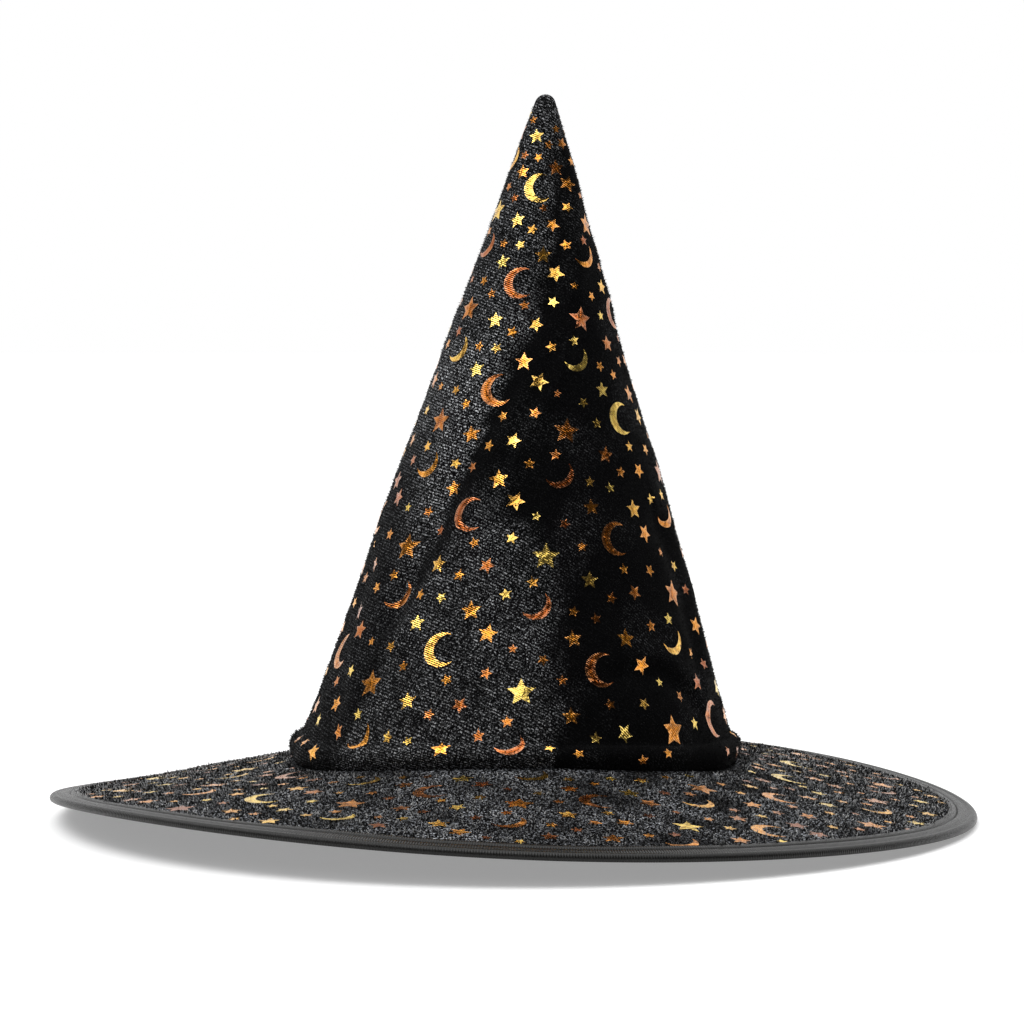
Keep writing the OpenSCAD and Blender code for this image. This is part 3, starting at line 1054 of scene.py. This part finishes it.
# %% Node helpers
class Finish:
    """A material with its Principled shader, and short calls for the nodes that feed it."""

    def __init__(self, name, colour, roughness, **fixed):
        self.material = bpy.data.materials.new(name)
        self.material.use_nodes = True
        self.tree = self.material.node_tree
        self.shader = self.tree.nodes["Principled BSDF"]
        self.shader.inputs["Base Color"].default_value = (*colour, 1)
        self.shader.inputs["Roughness"].default_value = roughness
        for socket, value in fixed.items():
            self.shader.inputs[socket.replace("_", " ")].default_value = value

    def node(self, kind, settings=None, **inputs):
        made = self.tree.nodes.new(kind)
        for key, value in (settings or {}).items():
            setattr(made, key, value)
        for socket, value in inputs.items():
            self.feed(made, socket.replace("_", " "), value)
        return made

    def feed(self, node, socket, value):
        if hasattr(value, "is_output"):
            self.tree.links.new(value, node.inputs[socket])
        else:
            node.inputs[socket].default_value = value

    def position(self):
        return self.node("ShaderNodeTexCoord").outputs["Object"]

    def noise(self, scale, detail=2.0, roughness=0.5, vector=None):
        made = self.node("ShaderNodeTexNoise", Scale=scale, Detail=detail, Roughness=roughness,
                         Vector=vector or self.position())
        return made.outputs["Fac"]

    def ramp(self, factor, stops):
        """Maps a value through (place, value) stops, as a grey."""
        made = self.node("ShaderNodeValToRGB", Fac=factor)
        points = made.color_ramp.elements
        while len(points) < len(stops):
            points.new(0.5)
        for point, (place, value) in zip(points, stops):
            point.position = place
            colour = value if isinstance(value, tuple) else (value, value, value)
            point.color = (*colour, 1)
        return made.outputs["Color"]

    def math(self, operation, a, b=0.0):
        made = self.node("ShaderNodeMath", {"operation": operation})
        self.feed(made, 0, a)
        self.feed(made, 1, b)
        return made.outputs[0]

    def mix(self, factor, a, b):
        """Blends two colours, each given as a node's output or as three values."""
        made = self.node("ShaderNodeMix", {"data_type": "RGBA"})
        self.feed(made, 0, factor)
        for slot, value in ((6, a), (7, b)):        # its two colour sockets
            self.feed(made, slot, (*value, 1) if isinstance(value, tuple) else value)
        return made.outputs[2]

    def times(self, *values):
        """All the values multiplied together."""
        product = values[0]
        for value in values[1:]:
            product = self.math("MULTIPLY", product, value)
        return product

    def cloth_map(self):
        return self.node("ShaderNodeUVMap", {"uv_map": "cloth"}).outputs["UV"]

    def threads(self, axis, count):
        """A wave along X or Y of the flat cloth, with so many to the unit of its map."""
        place = self.node("ShaderNodeSeparateXYZ", Vector=self.cloth_map())
        return self.math("SINE", self.times(place.outputs[axis], 2 * math.pi * count))

    def slanting_ribs(self, pitch):
        """Ribs of the knitted ground, 0 to 1, that slant across the cloth and waver a little."""
        place = self.node("ShaderNodeMapping", Vector=self.cloth_map(), Rotation=(0, 0, math.radians(-62)))
        wave = self.node("ShaderNodeTexWave", {"wave_type": "BANDS", "bands_direction": "X"},
                         Vector=place.outputs["Vector"], Scale=2 * math.pi / 20 / pitch, Distortion=0.0)
        waver = self.times(self.math("SUBTRACT", self.noise(300, 2, 0.5), 0.5), 1.2)
        return self.math("ADD", wave.outputs["Fac"], waver)

    def attribute(self, name):
        return self.node("ShaderNodeAttribute", {"attribute_name": name}).outputs["Fac"]

    def bump(self, height, distance, strength=1.0, below=None):
        made = self.node("ShaderNodeBump", Strength=strength, Distance=distance, Height=height)
        if below:
            self.tree.links.new(below, made.inputs["Normal"])
        return made.outputs["Normal"]

    def use(self, **sockets):
        for socket, value in sockets.items():
            self.tree.links.new(value, self.shader.inputs[socket.replace("_", " ")])
        return self.material


def dress(piece, material):
    piece.data.materials.clear()
    piece.data.materials.append(material)


# %% [markdown]
# ### Velvet
#
# Velvet is black pile that stands up from a knitted ground. How light it looks is painted into
# its colour from an attribute of each point of the cloth. That is partly the pile's brushing,
# which lies differently in patches, and partly painted light: on the cone, painted light on the
# left and lower middle, with painted shade along the long fold and on the right, and on the
# brim, painted sheen at its sides. Single tufts glint, which is painted into the colour with a
# fine noise and a sharp ramp. Sheen lifts the edges, as pile does when one looks across it.

# %% Brush the cloth and paint its light
give_values(cone_velvet, "nap_and_painted_light", cone_brushing_and_painted_light(coordinates(cone_velvet)))
give_values(brim_velvet, "nap_and_painted_light", brim_brushing_and_painted_sheen(coordinates(brim_velvet)))
print("brushed:", cone_velvet.name, brim_velvet.name)


# %% Velvet
def velvet_finish(name, ribbed, light, grain):
    """Pile in tufts with painted glints, in patches that lie differently, lightened by the cloth's painted
    light, with the ground's slanting ribs showing through.
    """
    f = Finish(name, (0.02, 0.02, 0.022), 0.9, Sheen_Weight=0.01, Sheen_Roughness=0.4,
               Specular_IOR_Level=0.03)
    tufts = f.noise(grain, 1, 0.5)
    mottle = f.noise(800, 3, 0.65)
    patches = f.noise(70, 3, 0.55)
    # painted glints: single tufts painted bright by a fine noise and a sharp ramp
    painted_glints = f.ramp(tufts, [(0.47, 0.0), (0.53, 0.18), (0.61, 1.0)])
    ribs = f.ramp(f.slanting_ribs(1.25 * MM), [(0.30, 1.0 - ribbed), (0.70, 1.0)])
    blotch = f.ramp(mottle, [(0.42, 0.12), (0.58, 1.0)])
    # the cloth's brushing and its painted light and shade, from its attribute, in patches
    nap_and_painted_light = f.times(f.attribute("nap_and_painted_light"), f.ramp(patches, [(0.35, 0.55), (0.62, 1.0)]))
    colour = f.mix(f.times(painted_glints, ribs, nap_and_painted_light, blotch), (0.0012, 0.0012, 0.0014), light)
    pile = f.bump(tufts, 0.20 * MM, 0.5)
    return f.use(Base_Color=colour, Normal=f.bump(mottle, 0.4 * MM, 0.4, pile))


def pile_finish(name, light):
    f = Finish(name, (0.05, 0.05, 0.05), 0.7, Specular_IOR_Level=0.1, Sheen_Weight=0.02)
    fibre = f.noise(3000, 1, 0.5)
    # the blade's painted light, glint and root shade, from its attribute
    lit = f.times(f.attribute("nap_and_painted_light"), f.ramp(fibre, [(0.35, 0.5), (0.65, 1.0)]))
    return f.use(Base_Color=f.mix(lit, (0.0015, 0.0015, 0.0017), light))


dress(brim_pile, pile_finish("brim_pile", (1.0, 1.0, 1.0)))
dress(cone_pile, pile_finish("cone_pile", (0.62, 0.64, 0.68)))
dress(cone_velvet, velvet_finish("cone_velvet", 0.88, (0.95, 0.97, 1.0), 1700))
dress(brim_velvet, velvet_finish("brim_velvet", 0.0, (0.50, 0.52, 0.56), 1100))

# %% [markdown]
# ### Gold foil
#
# Foil is a metal film, so its colour comes from what it reflects. Fine crinkles break the
# reflection up. Each motif also gets a colour of its own between copper brown and yellow, with
# patches across it; the copper brown is painted dim reflection, given to motifs at random. A
# pale cream along the motifs' edges is a painted highlight.

# %% Gold foil
def foil_finish(name, gloss, uneven_by, buckled_by, brown):
    f = Finish(name, (0.9, 0.6, 0.2), 0.3, Metallic=1.0, Specular_IOR_Level=0.5)
    crinkle = f.noise(1100, 2, 0.6)
    patchy = f.noise(300, 2, 0.6)
    ribs = f.slanting_ribs(0.8 * MM)
    # painted dim reflection: the motif's random tone and patches set its colour from copper brown to yellow
    tone = f.math("ADD", f.times(f.attribute("tone"), 0.8), f.times(patchy, 0.3))
    colour = f.ramp(tone, [(0.20, brown), (0.62, (0.93, 0.36, 0.025)), (0.88, (1.0, 0.70, 0.14))])
    # the film is broken where the ribs of the cloth stretch it
    broken = f.times(f.ramp(ribs, [(0.12, 1.0), (0.30, 0.0)]), f.ramp(patchy, [(0.38, 1.0), (0.50, 0.0)]))
    specks = f.ramp(crinkle, [(0.33, 1.0), (0.38, 0.0)])
    gaps = f.math("MAXIMUM", broken, specks)
    # painted highlight: pale cream along each motif's edges
    rim = f.mix(f.times(f.attribute("edge"), 0.18), colour, (1.0, 0.86, 0.62))
    seen = f.mix(f.times(gaps, 0.85), rim, (0.06, 0.02, 0.006))
    rough = f.ramp(crinkle, [(0.3, gloss), (0.7, gloss + 0.12)])
    buckle = f.bump(f.noise(110, 1, 0.5), buckled_by, 1.0)
    relief = f.bump(ribs, 0.07 * MM, 0.7, f.bump(patchy, uneven_by, 1.0, buckle))
    return f.use(Base_Color=seen, Roughness=rough, Normal=f.bump(crinkle, 0.03 * MM, 0.8, relief))


cone_foil = foil_finish("cone_foil", 0.07, 0.34 * MM, 0.6 * MM, (0.40, 0.085, 0.008))
brim_foil = foil_finish("brim_foil", 0.16, 0.35 * MM, 1.3 * MM, (0.30, 0.065, 0.008))
for piece, finish in zip(foils, (cone_foil, cone_foil, brim_foil, brim_foil)):
    dress(piece, finish)

# %% [markdown]
# ### Tape, lining, board, foam, steel, thread and satin
#
# The tape is grosgrain: weft ribs that run across it, about one a millimetre, under a soft gloss.
# The ribs are a wave on the UV map, with a whole number of them round the hat, so they meet at
# the back. The plainer cloths get a weave of two crossed waves.

# %% Tape
def tape_finish(name, ribs, colour):
    f = Finish(name, colour, 0.4, Specular_IOR_Level=0.22)
    wave = f.threads("X", ribs)
    patchy = f.noise(120, 3, 0.6)
    grain = f.noise(1600, 2, 0.5)
    tint = f.mix(f.ramp(patchy, [(0.3, 0.0), (0.75, 1.0)]), colour, tuple(1.7 * c for c in colour))
    groove = f.ramp(f.math("ADD", f.times(wave, 0.5), 0.5), [(0.0, 0.35), (0.5, 0.0)])
    shadow = f.mix(groove, tint, (0.002, 0.002, 0.002))
    rough = f.ramp(grain, [(0.3, 0.24), (0.7, 0.38)])
    fine = f.bump(grain, 0.08 * MM, 0.5)
    return f.use(Base_Color=shadow, Roughness=rough, Normal=f.bump(wave, 0.10 * MM, 0.7, fine))


dress(tape, tape_finish("rim_grosgrain", 1100, (0.0045, 0.0044, 0.0040)))
dress(sweatband, tape_finish("band_grosgrain", 520, (0.022, 0.022, 0.021)))


# %% Plain cloths
def woven_finish(name, colour, threads, gloss):
    """A plain weave of crossed threads, so many to the unit of the cloth's map."""
    f = Finish(name, colour, gloss, Sheen_Weight=0.15, Specular_IOR_Level=0.35)
    weave = f.times(f.threads("X", threads), f.threads("Y", threads))
    slub = f.noise(260, 4, 0.6)
    tint = f.mix(f.ramp(slub, [(0.3, 0.0), (0.7, 1.0)]), colour, tuple(1.6 * c for c in colour))
    rough = f.ramp(slub, [(0.3, gloss - 0.08), (0.7, gloss + 0.08)])
    return f.use(Base_Color=tint, Roughness=rough,
                 Normal=f.bump(weave, 0.08 * MM, 0.6, f.bump(slub, 0.2 * MM, 0.4)))


lining_cloth = woven_finish("lining_cloth", (0.016, 0.016, 0.018), 1400, 0.5)
dress(lining, lining_cloth)
dress(brim_under, lining_cloth)
dress(seam_fold, woven_finish("seam_fold_cloth", (0.014, 0.014, 0.016), 1400, 0.5))


def solid_finish(name, colour, rough, scale, depth, **fixed):
    """Foam, board, thread or metal: one colour with a grain in tone, gloss and relief."""
    f = Finish(name, colour, rough, **fixed)
    grain = f.noise(scale, 3, 0.6)
    tint = f.mix(grain, tuple(0.7 * c for c in colour), tuple(1.5 * c for c in colour))
    gloss = f.ramp(grain, [(0.3, max(rough - 0.1, 0.05)), (0.7, min(rough + 0.1, 1.0))])
    return f.use(Base_Color=tint, Roughness=gloss, Normal=f.bump(grain, depth, 0.7))


dress(foam, solid_finish("black_foam", (0.03, 0.03, 0.032), 0.95, 1800, 0.3 * MM))
dress(brim_board, solid_finish("felt_board", (0.03, 0.029, 0.027), 0.95, 1200, 0.3 * MM))
steel = solid_finish("drawn_steel", (0.45, 0.46, 0.47), 0.35, 700, 0.02 * MM, Metallic=1.0)
dress(wire, steel)
dress(sleeve, steel)
thread = solid_finish("black_thread", (0.010, 0.010, 0.011), 0.6, 3000, 0.06 * MM, Sheen_Weight=0.3)
for piece in (tape_top, tape_low, crown_row, band_row, back_row):
    dress(piece, thread)


def satin_finish():
    f = Finish("label_satin", (0.78, 0.76, 0.70), 0.42, Sheen_Weight=0.2)
    place = f.node("ShaderNodeMapping", Vector=f.position(), Scale=(1.0, 1.0, 14.0))
    float_threads = f.noise(700, 2, 0.5, place.outputs["Vector"])
    tint = f.mix(float_threads, (0.70, 0.68, 0.62), (0.86, 0.84, 0.79))
    return f.use(Base_Color=tint, Normal=f.bump(float_threads, 0.05 * MM, 0.6))


satin = satin_finish()
dress(label, satin)
dress(label_tab, satin)
print("materials:", len(bpy.data.materials))

# %% [markdown]
# ## What each piece is
#
# Every piece rides on a body, and stands for the CAD node that it was made from. All the CAD
# solids of this hat are pressed cloth, or follow its wave, so all are replaced.

# %% Bodies, nodes and finishes
TABLE = [
    (cone_velvet, "cone_velvet", "velvet"), (foam, "cone_foam", "foam"), (lining, "cone_lining", "lining"),
    (back_row, "cone_seam_thread", "thread"), (seam_fold, "lining_seam_thread", "lining"),
    (brim_velvet, "brim_top_velvet", "velvet"), (brim_board, "brim_board", "board"),
    (brim_under, "brim_underside", "lining"), (wire, "brim_hoop", "steel"), (sleeve, "hoop_sleeve", "steel"),
    (tape, "edge_binding", "grosgrain"), (tape_top, "binding_thread_top", "thread"),
    (tape_low, "binding_thread_under", "thread"), (crown_row, "crown_seam_thread", "thread"),
    (sweatband, "sweatband", "grosgrain"), (band_row, "sweatband_thread", "thread"),
    (label, "care_label", "satin")]
for piece, node, finish in TABLE:
    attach(piece, "label" if node == "care_label" else "hat")
    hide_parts(node)
for piece in foils:
    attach(piece, "hat")
for piece in (brim_pile, cone_pile):
    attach(piece, "hat")
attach(label_tab, "hat")

print("pieces:", len(TABLE) + len(foils) + 3)

# %% [markdown]
# ## Studio
#
# The hat stands on a table lit from below. The room is white behind the hat and darker in front
# of it, with a large soft light overhead from the left and a tall one behind the camera. This
# matters to the foil. At the cone's edges it reflects the white room and looks pale, while the
# part that faces the camera reflects the darker room and looks brown, apart from a strip down the
# middle that catches the tall light.

# %% Floor
bpy.ops.object.select_all(action="DESELECT")
bpy.ops.mesh.primitive_plane_add(size=1, location=(0, 0, 0))
floor = bpy.context.object
floor.name = "floor"
with editing(floor):
    bpy.ops.transform.resize(value=(30, 30, 1))
dress(floor, Finish("light_table", (0.75, 0.75, 0.75), 0.9, Specular_IOR_Level=0.1,
                    Emission_Color=(1, 1, 1, 1), Emission_Strength=0.3).material)


# %% Lights
def area_light(name, place, target, width, height, radiance):
    """A soft box of a given brightness, where 1 is as bright as white paper in the render."""
    data = bpy.data.lights.new(name, "AREA")
    data.shape = "RECTANGLE"
    data.size, data.size_y = width, height
    data.energy = radiance * math.pi * width * height
    light = bpy.data.objects.new(name, data)
    bpy.context.scene.collection.objects.link(light)
    light.location = place
    light.rotation_euler = (Vector(target) - Vector(place)).to_track_quat("-Z", "Y").to_euler()
    return light


hat_middle = (0, 0, 0.14)
area_light("overhead_left", (-1.0, -0.5, 1.7), hat_middle, 1.2, 1.2, 3.0)
area_light("tall", (-0.50, -2.1, 1.45), hat_middle, 1.0, 1.3, 2.1)


def studio_room():
    """White all round for the camera. For the light it is white behind the hat, along the floor's edge
    and overhead, and dark in front."""
    world = bpy.data.worlds.new("studio")
    bpy.context.scene.world = world
    world.use_nodes = True
    tree = world.node_tree

    def share(axis, start, end, low, high):
        """A smooth step along one axis of the direction one looks in."""
        step = tree.nodes.new("ShaderNodeMapRange")
        step.interpolation_type = "SMOOTHSTEP"
        for socket, value in (("From Min", start), ("From Max", end), ("To Min", low), ("To Max", high)):
            step.inputs[socket].default_value = value
        tree.links.new(axes.outputs[axis], step.inputs["Value"])
        return step.outputs["Result"]

    axes = tree.nodes.new("ShaderNodeSeparateXYZ")
    tree.links.new(tree.nodes.new("ShaderNodeTexCoord").outputs["Generated"], axes.inputs[0])
    brightest = share("Y", -0.05, 0.5, 0.045, 1.0)
    for other in (share("Z", 0.02, 0.16, 1.3, 0.0), share("Z", 0.68, 0.85, 0.0, 2.1)):
        larger = tree.nodes.new("ShaderNodeMath")
        larger.operation = "MAXIMUM"
        tree.links.new(brightest, larger.inputs[0])
        tree.links.new(other, larger.inputs[1])
        brightest = larger.outputs[0]
    room = tree.nodes["Background"]
    paper = tree.nodes.new("ShaderNodeBackground")
    for background in (room, paper):
        background.inputs["Color"].default_value = (1, 1, 1, 1)
    choose = tree.nodes.new("ShaderNodeMixShader")
    tree.links.new(brightest, room.inputs["Strength"])
    tree.links.new(tree.nodes.new("ShaderNodeLightPath").outputs["Is Camera Ray"], choose.inputs["Fac"])
    tree.links.new(room.outputs[0], choose.inputs[1])
    tree.links.new(paper.outputs[0], choose.inputs[2])
    tree.links.new(choose.outputs[0], tree.nodes["World Output"].inputs["Surface"])


studio_room()
bpy.context.scene.view_settings.view_transform = "Standard"
